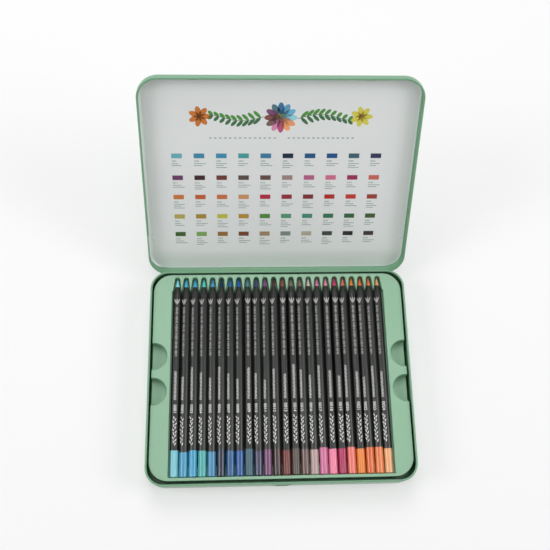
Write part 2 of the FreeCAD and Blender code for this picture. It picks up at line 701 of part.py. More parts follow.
def make_hinges():
    """On each side a base leaf clinched inside the back wall, a lid leaf inside the skirt, and a pin in both."""
    made = []
    pins = []
    wall_inside = f"({BASE_LENGTH} / 2 - sheet - {HINGE_Y})"
    for side, sign in (("left", "-1"), ("right", "1")):
        middle = f"({sign} * hinge_spread / 2)"
        plate_x = f"{middle} - hinge_width / 2"
        knuckle_x = f"{middle} - base_knuckle / 2"

        name = f"base_hinge_leaf_{side}"
        strip_y = f"{wall_inside} - leaf_sheet"
        pieces = [
            rod_piece(f"{name}_curl", KNUCKLE, "base_knuckle", knuckle_x),
            block_piece(
                f"{name}_strip", "base_knuckle", f"-({strip_y})", "leaf_sheet", knuckle_x, strip_y, f"-{KNUCKLE}"
            ),
            block_piece(
                f"{name}_plate", "hinge_width", "leaf_sheet", "base_leaf_height",
                plate_x, strip_y, f"leaf_sheet - {KNUCKLE} - base_leaf_height",
            ),
        ]
        bore = rod_piece(f"{name}_bore", "pin_radius + pin_gap", "hinge_width", plate_x)
        leaf = joined(name, pieces, bore)
        place(leaf, y=HINGE_Y, z=HINGE_Z)
        made.append(leaf)

        name = f"lid_hinge_leaf_{side}"
        tab = "((hinge_width - base_knuckle) / 2 - knuckle_gap)"
        far_x = f"{middle} + hinge_width / 2 - {tab}"
        skirt_inside = "(lid_back_reach - sheet)"
        strip_z = f"({KNUCKLE} - leaf_sheet)"
        plate_height = f"{HINGE_DROP} + lid_skirt - lid_edge_round - leaf_sheet - {strip_z}"
        pieces = [
            block_piece(
                f"{name}_plate", "hinge_width", "leaf_sheet", plate_height,
                plate_x, f"{skirt_inside} - leaf_sheet", strip_z,
            )
        ]
        for end, x in (("near", plate_x), ("far", far_x)):
            pieces.append(rod_piece(f"{name}_curl_{end}", KNUCKLE, tab, x))
            pieces.append(
                block_piece(f"{name}_tab_{end}", tab, skirt_inside, "leaf_sheet", x, "0", strip_z)
            )
        bore = rod_piece(f"{name}_bore", "pin_radius + pin_gap", "hinge_width", plate_x)
        leaf = joined(name, pieces, bore)
        place(leaf, y=HINGE_Y, z=HINGE_Z, axis=(-1, 0, 0), angle="lid_open_angle")
        made.append(leaf)

        pins.append(rod_piece(f"hinge_pin_{side}", "pin_radius", "hinge_width", plate_x))
    pair = doc.addObject("Part::Compound", "hinge_pins")
    pair.Links = pins
    pair.Label = "hinge_pins"
    place(pair, y=HINGE_Y, z=HINGE_Z)
    made.append(pair)
    return made


def write_parts(sub_parts):
    """Check every object and every sub-part's shape, then write one file for each sub-part."""
    doc.recompute()
    failed = [thing.Name for thing in doc.Objects if {"Invalid", "Error"} & set(thing.State)]
    if failed:
        raise ValueError(f"failed: {failed}")
    for thing in sub_parts:
        if thing.Shape.isNull() or not thing.Shape.isValid() or not thing.Shape.Solids:
            raise ValueError(f"{thing.Label} has no valid solid")
    os.makedirs("parts", exist_ok=True)
    for thing in sub_parts:
        thing.Shape.exportStep(f"parts/{thing.Label}.step")
        print(thing.Label, len(thing.Shape.Solids), round(thing.Shape.Volume, 2))


sub_parts = [
    make_base(),
    make_lid(),
    make_tray("lower_tray", LOWER_SLOTS, LOWER_FOOT),
    make_tray("upper_tray", "upper_slots", UPPER_FOOT),
]
sub_parts += make_lower_pencils()
sub_parts += make_upper_pencils()
sub_parts += make_hinges()
write_parts(sub_parts)
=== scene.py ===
# %% [markdown]
# # A tin of colouring pencils, dressed over its CAD frame
# The box is already modelled piece by piece: tin, lid, hinges, two trays and every pencil. Blender adds
# what a solid can't carry: paint, lacquer, wax, the ink inside the lid and the foil on the barrels.
# Everything is in metres and in the frame's own axes, with +Z up and the hinges towards +Y.

# %% Load the frame
import bmesh
import bpy
import colorsys
import json
import math
from mathutils import Matrix, Vector


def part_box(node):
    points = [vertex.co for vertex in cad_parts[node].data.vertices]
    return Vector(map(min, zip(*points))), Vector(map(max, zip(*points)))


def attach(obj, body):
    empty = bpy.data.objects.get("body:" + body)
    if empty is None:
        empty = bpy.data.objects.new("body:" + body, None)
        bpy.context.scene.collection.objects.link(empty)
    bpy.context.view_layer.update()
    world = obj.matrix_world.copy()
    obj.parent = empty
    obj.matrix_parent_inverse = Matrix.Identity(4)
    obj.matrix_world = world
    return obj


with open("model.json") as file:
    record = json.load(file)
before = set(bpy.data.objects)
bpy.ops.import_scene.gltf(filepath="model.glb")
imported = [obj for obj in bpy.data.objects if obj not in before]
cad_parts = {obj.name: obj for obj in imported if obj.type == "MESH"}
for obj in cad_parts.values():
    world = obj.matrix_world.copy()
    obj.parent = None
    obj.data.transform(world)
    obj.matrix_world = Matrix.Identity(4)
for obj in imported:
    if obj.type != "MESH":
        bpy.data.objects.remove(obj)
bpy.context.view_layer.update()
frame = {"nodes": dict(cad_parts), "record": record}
nodes = frame["nodes"]
bpy.context.scene.view_settings.view_transform = "Standard"

# %% [markdown]
# ## Where the camera stands
# The photograph looks steeply down from in front of the box, so the tray shows almost in plan and the lid
# is seen foreshortened. A camera can be aimed with a constraint, but a fitted view is easier to repeat when
# its three axes are written out, so the matrix holds the view's right, up and backward directions and the
# place.

# %% Camera
PHOTO_SIDE = 550
SENSOR = 36.0
focal_pixels = 809.8
centre_right, centre_down = 6.94, -42.2
right = Vector((0.998576, -0.023993, 0.047645))
up = Vector((0.005803, 0.936705, 0.350072))
stand = Vector((-0.035661, -0.133918, 0.736627))
camera_data = bpy.data.cameras.new("photo_camera")
camera_data.sensor_width = SENSOR
camera_data.lens = focal_pixels * SENSOR / PHOTO_SIDE
camera_data.shift_x = -centre_right / PHOTO_SIDE
camera_data.shift_y = centre_down / PHOTO_SIDE
camera = bpy.data.objects.new("photo_camera", camera_data)
bpy.context.scene.collection.objects.link(camera)
turn = Matrix((right, up, right.cross(up))).transposed().to_4x4()
camera.matrix_world = Matrix.Translation(stand) @ turn
bpy.context.scene.camera = camera
print("lens:", round(camera_data.lens, 1), "mm")

# %% [markdown]
# ## Joining nodes
# Worlds and materials are both built from nodes. One helper sets plain inputs and links sockets in one go,
# so a node's line says all that it does.

# %% Node helper
def add(tree, kind, settings=None, **inputs):
    """Add a node. An input is a value or another node's output.

    An underscore in an input's name is a space, and i2 means input 2.
    """
    node = tree.nodes.new(kind)
    for name, value in (settings or {}).items():
        setattr(node, name, value)
    for name, value in inputs.items():
        key = int(name[1:]) if name[1:].isdigit() else name.replace("_", " ")
        socket = node.inputs[key]
        if isinstance(value, bpy.types.NodeSocket):
            tree.links.new(value, socket)
        else:
            socket.default_value = value
    return node


print("helper:", add.__name__)

# %% [markdown]
# ## A pale sweep and soft light
# The dipped ends show two long soft highlights, one on each upper face, with a darker line between them. So
# most of that gloss comes from the sides: a softbox on the right and one as strong on the left. A third
# hangs above and behind the lid; it throws the soft shadow to the front and leaves the finger notches' far
# walls dark. A small one straight above shines on pencils that lie with a flat face up. The room is bright
# near the horizon, like white studio walls, and dim overhead.

# %% Floor, lamps and world
FLOOR_SIDE = 8.0
WALLS, CEILING = 0.92, 0.22
WALLS_END, CEILING_START = 0.10, 0.42
BOX_SIDE, SMALL_BOX_SIDE = 1.0, 0.8
SIDE_WATTS, BACK_WATTS, TOP_WATTS = 17.0, 12.0, 6.0


def piece_from(bm, name):
    """Turn a finished bmesh into an object of the scene."""
    mesh = bpy.data.meshes.new(name)
    bm.to_mesh(mesh)
    bm.free()
    piece = bpy.data.objects.new(name, mesh)
    bpy.context.scene.collection.objects.link(piece)
    return piece


bm = bmesh.new()
bmesh.ops.create_grid(bm, x_segments=1, y_segments=1, size=FLOOR_SIDE / 2)
floor = piece_from(bm, "paper_floor")


def softbox(name, place, side, watts):
    """A square lamp that looks at the middle of the tray."""
    data = bpy.data.lights.new(name, "AREA")
    data.size = side
    data.energy = watts
    lamp = bpy.data.objects.new(name, data)
    lamp.location = place
    lamp.rotation_euler = (-Vector(place)).to_track_quat("-Z", "Y").to_euler()
    bpy.context.scene.collection.objects.link(lamp)
    return lamp


softbox("right_box", (1.78, -0.10, 1.39), BOX_SIDE, SIDE_WATTS)
softbox("left_box", (-1.78, -0.10, 1.39), BOX_SIDE, SIDE_WATTS)
softbox("back_box", (-0.10, 1.05, 1.45), BOX_SIDE, BACK_WATTS)
softbox("top_box", (0.10, 0.10, 2.20), SMALL_BOX_SIDE, TOP_WATTS)

world = bpy.data.worlds.new("white_room")
bpy.context.scene.world = world
world.use_nodes = True
tree = world.node_tree
tree.nodes.clear()
looking = add(tree, "ShaderNodeTexCoord").outputs["Generated"]
height = add(tree, "ShaderNodeSeparateXYZ", Vector=looking).outputs["Z"]
shade = add(
    tree, "ShaderNodeMapRange",
    Value=height, From_Min=WALLS_END, From_Max=CEILING_START, To_Min=WALLS, To_Max=CEILING,
)
room = add(tree, "ShaderNodeBackground", Color=(1.0, 1.0, 1.0, 1.0), Strength=shade.outputs[0])
add(tree, "ShaderNodeOutputWorld", Surface=room.outputs[0])

# %% [markdown]
# ## A small kit for materials
# Every finish here starts the same way: a material with a Principled shader whose plain numbers sit on its
# own sockets. Colours are written as hue, saturation and value, the way one picks them by eye.

# %% Material helpers
def finish_of(name, **constants):
    """A material with a Principled shader whose plain numbers are set on its own sockets."""
    material = bpy.data.materials.new(name)
    material.use_nodes = True
    shader = material.node_tree.nodes["Principled BSDF"]
    for socket, value in constants.items():
        shader.inputs[socket.replace("_", " ")].default_value = value
    return material, material.node_tree, shader


def wear(material, *names):
    """Give CAD nodes a material."""
    for name in names:
        nodes[name].material_slots[0].material = material


def hsv(hue, saturation, value):
    """A written colour as the linear colour that a shader takes."""
    parts = colorsys.hsv_to_rgb(hue, saturation, value)
    linear = [part / 12.92 if part <= 0.04045 else ((part + 0.055) / 1.055) ** 2.4 for part in parts]
    return (*linear, 1.0)


print("a mid grey as the shader takes it:", [round(part, 3) for part in hsv(0, 0, 0.5)])

# %% [markdown]
# ## Grain: one group for every coat
# Enamel, formed plastic and wax all look alive because nothing on them is quite even. A node group makes
# that once: a broad cloudiness that shifts the colour, and a fine grain that moves the roughness and lifts
# the surface a little. Each material places the group with its own scale and amounts.

# %% Grain group
def new_group(name, inputs, outputs):
    """A shader node group with named sockets."""
    group = bpy.data.node_groups.new(name, "ShaderNodeTree")
    for title, kind, value in inputs:
        socket = group.interface.new_socket(name=title, in_out="INPUT", socket_type=f"NodeSocket{kind}")
        socket.default_value = value
    for title, kind in outputs:
        group.interface.new_socket(name=title, in_out="OUTPUT", socket_type=f"NodeSocket{kind}")
    return group, group.nodes.new("NodeGroupInput").outputs, group.nodes.new("NodeGroupOutput").inputs


grain, asked, given = new_group(
    "coat_grain",
    [
        ("Colour", "Color", (0.5, 0.5, 0.5, 1.0)),
        ("Cloud Scale", "Float", 30.0),
        ("Cloud Amount", "Float", 0.05),
        ("Grain Scale", "Float", 2500.0),
        ("Roughness", "Float", 0.4),
        ("Roughness Amount", "Float", 0.08),
    ],
    [("Colour", "Color"), ("Roughness", "Float"), ("Height", "Float")],
)
spot = add(grain, "ShaderNodeTexCoord").outputs["Object"]
cloud = add(grain, "ShaderNodeTexNoise", Vector=spot, Scale=asked["Cloud Scale"], Detail=3.0)
fine = add(grain, "ShaderNodeTexNoise", Vector=spot, Scale=asked["Grain Scale"], Detail=2.0)
swing = add(grain, "ShaderNodeMath", {"operation": "SUBTRACT"}, i0=cloud.outputs["Fac"], i1=0.5)
swing = add(grain, "ShaderNodeMath", {"operation": "MULTIPLY"}, i0=swing.outputs[0], i1=asked["Cloud Amount"])
shade = add(grain, "ShaderNodeMath", {"operation": "ADD"}, i0=swing.outputs[0], i1=1.0)
tinted = add(grain, "ShaderNodeVectorMath", {"operation": "SCALE"}, i0=asked["Colour"], Scale=shade.outputs[0])
grain.links.new(tinted.outputs[0], given["Colour"])
rough = add(grain, "ShaderNodeMath", {"operation": "SUBTRACT"}, i0=fine.outputs["Fac"], i1=0.5)
rough = add(
    grain, "ShaderNodeMath", {"operation": "MULTIPLY_ADD"},
    i0=rough.outputs[0], i1=asked["Roughness Amount"], i2=asked["Roughness"],
)
grain.links.new(rough.outputs[0], given["Roughness"])
grain.links.new(fine.outputs["Fac"], given["Height"])


def grained(tree, shader, colour, lift, **amounts):
    """Place the grain group in a material and join it to the shader."""
    coat = add(tree, "ShaderNodeGroup", {"node_tree": grain}, Colour=colour, **amounts)
    tree.links.new(coat.outputs["Colour"], shader.inputs["Base Color"])
    tree.links.new(coat.outputs["Roughness"], shader.inputs["Roughness"])
    bump = add(tree, "ShaderNodeBump", Height=coat.outputs["Height"], Distance=lift, Strength=0.5)
    tree.links.new(bump.outputs[0], shader.inputs["Normal"])
    return coat


print("group sockets:", [item.name for item in grain.interface.items_tree])

# %% [markdown]
# ## Paper floor
# The sweep is plain white paper that keeps the object's soft shadow. Studio pictures have their paper lit
# on its own until it is almost white, so for rays from the camera, reflections and glass a part of the
# paper glows. Far from the box all of it glows, as bright as the walls, and the paper's edge melts into the
# room.

# %% Floor finish
GLOW = 0.45
NEAR_PAPER, FAR_PAPER = 0.7, 1.9
material, tree, shader = finish_of("white_paper", Specular_IOR_Level=0.1)
grained(
    tree, shader, (0.93, 0.93, 0.93, 1.0), 0.0001,
    Cloud_Scale=3.0, Cloud_Amount=0.01, Grain_Scale=400.0, Roughness=0.9,
)
path = add(tree, "ShaderNodeLightPath")
seen = add(
    tree, "ShaderNodeMath", {"operation": "MAXIMUM"},
    i0=path.outputs["Is Camera Ray"], i1=path.outputs["Is Glossy Ray"],
)
seen = add(
    tree, "ShaderNodeMath", {"operation": "MAXIMUM"},
    i0=seen.outputs[0], i1=path.outputs["Is Transmission Ray"],
)
place = add(tree, "ShaderNodeTexCoord").outputs["Object"]
reach = add(tree, "ShaderNodeVectorMath", {"operation": "LENGTH"}, i0=place).outputs["Value"]
far = add(
    tree, "ShaderNodeMapRange",
    Value=reach, From_Min=NEAR_PAPER, From_Max=FAR_PAPER, To_Min=GLOW, To_Max=1.0,
)
share = add(tree, "ShaderNodeMath", {"operation": "MULTIPLY"}, i0=seen.outputs[0], i1=far.outputs[0])
glow = add(tree, "ShaderNodeEmission", Color=(1.0, 1.0, 1.0, 1.0), Strength=WALLS)
both = add(tree, "ShaderNodeMixShader", i0=share.outputs[0], i1=shader.outputs[0], i2=glow.outputs[0])
tree.links.new(both.outputs[0], tree.nodes["Material Output"].inputs["Surface"])
floor.data.materials.append(material)
print("floor:", floor.name)

# %% [markdown]
# ## Mint enamel on the tin
# The base and the hinge leaves are tinplate with a baked mint enamel: smooth, satin, a touch cloudy where
# the coat is thicker. The lid wears the same enamel outside and on its skirt, and a white coat on the inner
# panel that ends on the inside round. The white reaches higher up the left round than up the others. One
# mesh carries both coats, so the lid's material finds the inner panel by height above the hinge axis along
# the lid's own normal, and by the way the surface faces.

# %% Tin finishes
MINT = hsv(0.380, 0.295, 0.625)
WHITE_COAT = hsv(0.45, 0.012, 0.91)
tin, tree, shader = finish_of("mint_enamel", Coat_Weight=0.15, Coat_Roughness=0.25)
grained(tree, shader, MINT, 0.00002, Cloud_Scale=22.0, Cloud_Amount=0.10, Grain_Scale=1800.0, Roughness=0.36)
wear(tin, "base_shell", "base_hinge_leaf_left", "base_hinge_leaf_right")
wear(tin, "lid_hinge_leaf_left", "lid_hinge_leaf_right")

lid_joint = next(joint for joint in frame["record"]["behaviour"]["joints"] if joint["name"] == "lid_hinge")
hinge = Vector(lid_joint["pos_m"])
open_angle = math.radians(-lid_joint["range_deg"][0])
lid_out = Vector((0, math.sin(open_angle), math.cos(open_angle)))
lid_away = Vector((0, -math.cos(open_angle), math.sin(open_angle)))
PANEL_LEVEL = 0.00995
COAT_DROP, LEFT_DROP, RIGHT_DROP = 0.00025, 0.00180, 0.00045
SIDE_FROM, LEFT_TO, RIGHT_TO = 0.1050, 0.1165, 0.1110
COAT_EDGE = 0.00008
FACING_FROM, FACING_TO = 0.2, 0.3
lid_coat, tree, shader = finish_of("mint_and_white_enamel", Coat_Weight=0.15, Coat_Roughness=0.25)
where = add(tree, "ShaderNodeTexCoord")
from_hinge = add(
    tree, "ShaderNodeVectorMath", {"operation": "SUBTRACT"}, i0=where.outputs["Object"], i1=hinge
)
level = add(tree, "ShaderNodeVectorMath", {"operation": "DOT_PRODUCT"}, i0=from_hinge.outputs[0], i1=lid_out)
facing = add(
    tree, "ShaderNodeVectorMath", {"operation": "DOT_PRODUCT"}, i0=where.outputs["Normal"], i1=-lid_out
)
across = add(tree, "ShaderNodeSeparateXYZ", Vector=where.outputs["Object"]).outputs["X"]
left_drop = add(
    tree, "ShaderNodeMapRange",
    Value=across, From_Min=-SIDE_FROM, From_Max=-LEFT_TO, To_Min=COAT_DROP, To_Max=LEFT_DROP,
)
right_drop = add(
    tree, "ShaderNodeMapRange",
    Value=across, From_Min=SIDE_FROM, From_Max=RIGHT_TO, To_Min=COAT_DROP, To_Max=RIGHT_DROP,
)
drop = add(
    tree, "ShaderNodeMath", {"operation": "MAXIMUM"}, i0=left_drop.outputs[0], i1=right_drop.outputs[0]
)
raised = add(tree, "ShaderNodeMath", {"operation": "ADD"}, i0=level.outputs["Value"], i1=drop.outputs[0])
above = add(
    tree, "ShaderNodeMapRange",
    Value=raised.outputs[0], From_Min=PANEL_LEVEL, From_Max=PANEL_LEVEL + COAT_EDGE,
)
inward = add(
    tree, "ShaderNodeMapRange", Value=facing.outputs["Value"], From_Min=FACING_FROM, From_Max=FACING_TO
)
white = add(tree, "ShaderNodeMath", {"operation": "MULTIPLY"}, i0=above.outputs[0], i1=inward.outputs[0])
paint = add(tree, "ShaderNodeMix", {"data_type": "RGBA"}, i0=white.outputs[0], i6=MINT, i7=WHITE_COAT)
grained(
    tree, shader, paint.outputs[2], 0.00002,
    Cloud_Scale=22.0, Cloud_Amount=0.06, Grain_Scale=1800.0, Roughness=0.38,
)
wear(lid_coat, "lid_shell")

steel, tree, shader = finish_of("bright_wire", Metallic=1.0)
grained(tree, shader, hsv(0.1, 0.03, 0.75), 0.00001, Cloud_Amount=0.1, Grain_Scale=3000.0, Roughness=0.3)
wear(steel, "hinge_pins")
print("lid hinge at", [round(v, 5) for v in hinge], "open", round(math.degrees(open_angle)), "degrees")

# %% [markdown]
# ## Formed plastic trays
# Each tray is one heated sheet drawn over a mould, so its edges are never sharp: a narrow bevel on the CAD
# solid gives them the soft line that catches the light. The triangles of a CAD solid are loose, so a weld
# joins them first. The plastic is a paler mint than the enamel, with a fine satin tooth. The gaps between
# the barrels look nearly black because shade falls there, so painted shade darkens the sheet's colour below
# the deck between the barrels. A likely reason is that the sheet is drawn thin there and lets the dark
# pencils below show, so the ribs get a darker tone.

# %% Tray finish
TRAY_MINT = hsv(0.378, 0.215, 0.720)
# painted shade: a dark mint that takes over below the deck between the barrels, where shade falls
PAINTED_SHADE_MINT = hsv(0.390, 0.350, 0.300)
PAINTED_SHADE_FROM, PAINTED_SHADE_TO = 0.0015, 0.0040
SLOT_FIELD = (0.0955, 0.0760)
SIDE_FADE, END_FADE = 0.001, 0.004
EDGE_ROUND, EDGE_SEGMENTS = 0.0003, 2
SHARP_ANGLE = math.radians(50)
WELD_REACH = 0.000002
smoothed = bpy.data.node_groups.new("smooth_faces", "GeometryNodeTree")
smoothed.interface.new_socket(name="Geometry", in_out="INPUT", socket_type="NodeSocketGeometry")
smoothed.interface.new_socket(name="Geometry", in_out="OUTPUT", socket_type="NodeSocketGeometry")
came = smoothed.nodes.new("NodeGroupInput").outputs[0]
smooth = add(smoothed, "GeometryNodeSetShadeSmooth", Geometry=came)
smoothed.links.new(smooth.outputs[0], smoothed.nodes.new("NodeGroupOutput").inputs[0])


def round_edges(name, width, segments):
    """Round a CAD node's sharp edges with a weld, a bevel and normals that follow the large faces."""
    modifiers = nodes[name].modifiers
    modifiers.new("weld", "WELD").merge_threshold = WELD_REACH
    bevel = modifiers.new("bevel", "BEVEL")
    bevel.width = width
    bevel.segments = segments
    bevel.limit_method = "ANGLE"
    bevel.angle_limit = SHARP_ANGLE
    bevel.use_clamp_overlap = False
    modifiers.new("smooth", "NODES").node_group = smoothed
    modifiers.new("normals", "WEIGHTED_NORMAL").keep_sharp = True


def fade(tree, value, start, end):
    """A value that runs from 0 at the start to 1 at the end."""
    return add(tree, "ShaderNodeMapRange", Value=value, From_Min=start, From_Max=end).outputs[0]


def times(tree, first, second):
    """The product of two values."""
    return add(tree, "ShaderNodeMath", {"operation": "MULTIPLY"}, i0=first, i1=second).outputs[0]


for name in ("upper_tray", "lower_tray"):
    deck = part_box(name)[1][2]
    formed, tree, shader = finish_of(f"formed_sheet_of_{name}", Specular_IOR_Level=0.4)
    spot = add(tree, "ShaderNodeTexCoord").outputs["Object"]
    reach = add(tree, "ShaderNodeVectorMath", {"operation": "ABSOLUTE"}, i0=spot).outputs[0]
    reach = add(tree, "ShaderNodeSeparateXYZ", Vector=reach)
    height = add(tree, "ShaderNodeSeparateXYZ", Vector=spot).outputs["Z"]
    # painted shade: the sheet turns dark from just below the deck, only within the slot field between the
    # barrels
    painted_shade = fade(tree, height, deck - PAINTED_SHADE_FROM, deck - PAINTED_SHADE_TO)
    painted_shade = times(tree, painted_shade, fade(tree, reach.outputs["X"], SLOT_FIELD[0] + SIDE_FADE, SLOT_FIELD[0]))
    painted_shade = times(tree, painted_shade, fade(tree, reach.outputs["Y"], SLOT_FIELD[1] + END_FADE, SLOT_FIELD[1]))
    sheet = add(tree, "ShaderNodeMix", {"data_type": "RGBA"}, i0=painted_shade, i6=TRAY_MINT, i7=PAINTED_SHADE_MINT)
    grained(
        tree, shader, sheet.outputs[2], 0.00003,
        Cloud_Scale=14.0, Cloud_Amount=0.08, Grain_Scale=1500.0, Roughness=0.45,
    )
    wear(formed, name)
    round_edges(name, EDGE_ROUND, EDGE_SEGMENTS)
print("tray triangles:", len(nodes["upper_tray"].data.polygons))

# %% [markdown]
# ## Lead colours
# The upper tray runs from pale blue through blue, purple and brown to pink and orange. Each pencil's wax
# and its dipped end share one colour, so the palette is one list of rounded hue, saturation and value, set
# by comparing renders with the photograph. The lower tray holds the rest of the range and takes its own
# list.

# %% Palettes
UPPER = [
    ("ice blue", 0.525, 0.34, 0.88), ("mid blue", 0.550, 0.50, 0.80), ("sky blue", 0.550, 0.52, 0.84),
    ("turquoise", 0.498, 0.45, 0.74), ("steel blue", 0.560, 0.50, 0.76), ("navy", 0.595, 0.62, 0.31),
    ("blue", 0.572, 0.62, 0.62), ("royal blue", 0.583, 0.66, 0.66), ("grey teal", 0.545, 0.36, 0.52),
    ("indigo", 0.665, 0.34, 0.42), ("purple", 0.855, 0.38, 0.50), ("burgundy", 0.970, 0.40, 0.29),
    ("brick", 0.015, 0.44, 0.53), ("umber", 0.040, 0.18, 0.42), ("mauve brown", 0.020, 0.25, 0.48),
    ("taupe pink", 0.020, 0.15, 0.76), ("orchid", 0.923, 0.38, 0.86), ("pink", 0.950, 0.36, 0.98),
    ("raspberry", 0.940, 0.56, 0.74), ("salmon", 0.015, 0.43, 0.96), ("orange", 0.072, 0.56, 0.96),
    ("dark orange", 0.055, 0.58, 0.91), ("light orange", 0.060, 0.53, 0.94), ("peach", 0.075, 0.40, 0.96),
]
LOWER = [
    ("crimson", 0.965, 0.80, 0.72), ("dark red", 0.980, 0.72, 0.60), ("dark brick", 0.990, 0.68, 0.52),
    ("scarlet", 0.000, 0.80, 0.72), ("light scarlet", 0.010, 0.76, 0.78), ("brick red", 0.015, 0.68, 0.62),
    ("straw", 0.140, 0.52, 0.72), ("gold", 0.125, 0.70, 0.66), ("lemon", 0.170, 0.66, 0.76),
    ("amber", 0.115, 0.72, 0.72), ("leaf green", 0.290, 0.62, 0.55), ("mint", 0.410, 0.48, 0.60),
    ("teal", 0.460, 0.55, 0.55), ("pine", 0.420, 0.58, 0.46), ("dark green", 0.385, 0.56, 0.40),
    ("olive", 0.270, 0.48, 0.36), ("moss", 0.265, 0.58, 0.38), ("lime", 0.255, 0.48, 0.66),
    ("ochre", 0.095, 0.66, 0.60), ("sienna", 0.055, 0.66, 0.48), ("sand", 0.095, 0.38, 0.64),
    ("silver", 0.400, 0.10, 0.55), ("stone", 0.130, 0.14, 0.70), ("slate", 0.400, 0.16, 0.28),
    ("black", 0.000, 0.00, 0.15), ("brown black", 0.050, 0.25, 0.24),
]
print("colours:", len(UPPER), "above,", len(LOWER), "below")

# %% [markdown]
# ## Barrels: lacquer, dip and sharpened wood
# A barrel is dyed wood under black lacquer. The sharpener has cut through it at the point, so the cone
# shows the dyed wood, rougher and a little browner. The other end is dipped in coloured lacquer, thicker
# and glossier, and the dip's edge is never quite straight. Thick lacquer swells over the flat faces, so the
# highlights become stripes: the normal leans from the face's own direction towards the spoke from the
# barrel's axis. All of this depends on the place along and about the barrel, so a node group works it out
# once and puts out colour, gloss, relief and normal.

# %% Barrel group
LACQUER = hsv(0.10, 0.05, 0.08)
DYED_WOOD = hsv(0.08, 0.12, 0.12)
SWELL = 0.75
RAGGED_EDGE = 0.0005
LACQUER_ROUGH, WOOD_ROUGHER, DIP_SMOOTHER = 0.32, 0.38, -0.15
FIBRE_RELIEF = 0.12
STREAK, STREAK_BASE = 0.5, 0.75
EDGE_BLUR = 0.0001
CUT_FROM, CUT_TO = 0.05, 0.10
SWELL_FROM, SWELL_TO = 0.02, 0.10
barrel, asked, given = new_group(
    "barrel_coat",
    [
        ("Dip Colour", "Color", (0.5, 0.5, 0.5, 1.0)),
        ("Dip Edge", "Float", -0.065),
        ("Axis X", "Float", 0.0),
        ("Axis Z", "Float", 0.0),
    ],
    [("Colour", "Color"), ("Roughness", "Float"), ("Height", "Float"), ("Normal", "Vector")],
)
where = add(barrel, "ShaderNodeTexCoord")
ragged = add(barrel, "ShaderNodeTexNoise", Vector=where.outputs["Object"], Scale=420.0, Detail=1.0)
along = add(barrel, "ShaderNodeSeparateXYZ", Vector=where.outputs["Object"])
face = add(barrel, "ShaderNodeSeparateXYZ", Vector=where.outputs["Normal"])
offset = add(
    barrel, "ShaderNodeMath", {"operation": "MULTIPLY_ADD"},
    i0=ragged.outputs["Fac"], i1=RAGGED_EDGE, i2=along.outputs["Y"],
)
past = add(barrel, "ShaderNodeMath", {"operation": "SUBTRACT"}, i0=asked["Dip Edge"], i1=offset.outputs[0])
dipped = add(barrel, "ShaderNodeMapRange", Value=past.outputs[0], From_Min=-EDGE_BLUR, From_Max=EDGE_BLUR)
cut = add(barrel, "ShaderNodeMapRange", Value=face.outputs["Y"], From_Min=CUT_FROM, From_Max=CUT_TO)
stretch = add(barrel, "ShaderNodeMapping", Vector=where.outputs["Object"], Scale=(900.0, 60.0, 900.0))
fibre = add(barrel, "ShaderNodeTexNoise", Vector=stretch.outputs[0], Scale=1.0, Detail=3.0)
streak = add(
    barrel, "ShaderNodeMath", {"operation": "MULTIPLY_ADD"}, i0=fibre.outputs["Fac"], i1=STREAK, i2=STREAK_BASE
)
lacquer = add(barrel, "ShaderNodeVectorMath", {"operation": "SCALE"}, i0=LACQUER[:3], Scale=streak.outputs[0])
wood = add(barrel, "ShaderNodeVectorMath", {"operation": "SCALE"}, i0=DYED_WOOD[:3], Scale=streak.outputs[0])
bare = add(
    barrel, "ShaderNodeMix", {"data_type": "RGBA"},
    i0=cut.outputs[0], i6=lacquer.outputs[0], i7=wood.outputs[0],
)
whole = add(
    barrel, "ShaderNodeMix", {"data_type": "RGBA"},
    i0=dipped.outputs[0], i6=bare.outputs[2], i7=asked["Dip Colour"],
)
barrel.links.new(whole.outputs[2], given["Colour"])
dull = add(
    barrel, "ShaderNodeMath", {"operation": "MULTIPLY_ADD"},
    i0=cut.outputs[0], i1=WOOD_ROUGHER, i2=LACQUER_ROUGH,
)
gloss = add(
    barrel, "ShaderNodeMath", {"operation": "MULTIPLY_ADD"},
    i0=dipped.outputs[0], i1=DIP_SMOOTHER, i2=dull.outputs[0],
)
barrel.links.new(gloss.outputs[0], given["Roughness"])
fibrous = add(
    barrel, "ShaderNodeMapRange", Value=dipped.outputs[0],
    From_Min=0.0, From_Max=1.0, To_Min=FIBRE_RELIEF, To_Max=0.0,
)
relief = add(
    barrel, "ShaderNodeMath", {"operation": "MULTIPLY_ADD"},
    i0=fibre.outputs["Fac"], i1=fibrous.outputs[0], i2=dipped.outputs[0],
)
barrel.links.new(relief.outputs[0], given["Height"])
axis = add(barrel, "ShaderNodeCombineXYZ", X=asked["Axis X"], Y=along.outputs["Y"], Z=asked["Axis Z"])
spoke = add(
    barrel, "ShaderNodeVectorMath", {"operation": "SUBTRACT"}, i0=where.outputs["Object"], i1=axis.outputs[0]
)
spoke = add(barrel, "ShaderNodeVectorMath", {"operation": "NORMALIZE"}, i0=spoke.outputs[0])
lengthwise = add(barrel, "ShaderNodeMath", {"operation": "ABSOLUTE"}, i0=face.outputs["Y"])
swell = add(
    barrel, "ShaderNodeMapRange",
    Value=lengthwise.outputs[0], From_Min=SWELL_FROM, From_Max=SWELL_TO, To_Min=SWELL, To_Max=0.0,
)
bent = add(
    barrel, "ShaderNodeMix", {"data_type": "VECTOR"},
    i0=swell.outputs[0], i4=where.outputs["Normal"], i5=spoke.outputs[0],
)
bent = add(
    barrel, "ShaderNodeVectorTransform",
    {"vector_type": "NORMAL", "convert_from": "OBJECT", "convert_to": "WORLD"},
    Vector=bent.outputs[1],
)
barrel.links.new(bent.outputs[0], given["Normal"])
print("barrel group nodes:", len(barrel.nodes))

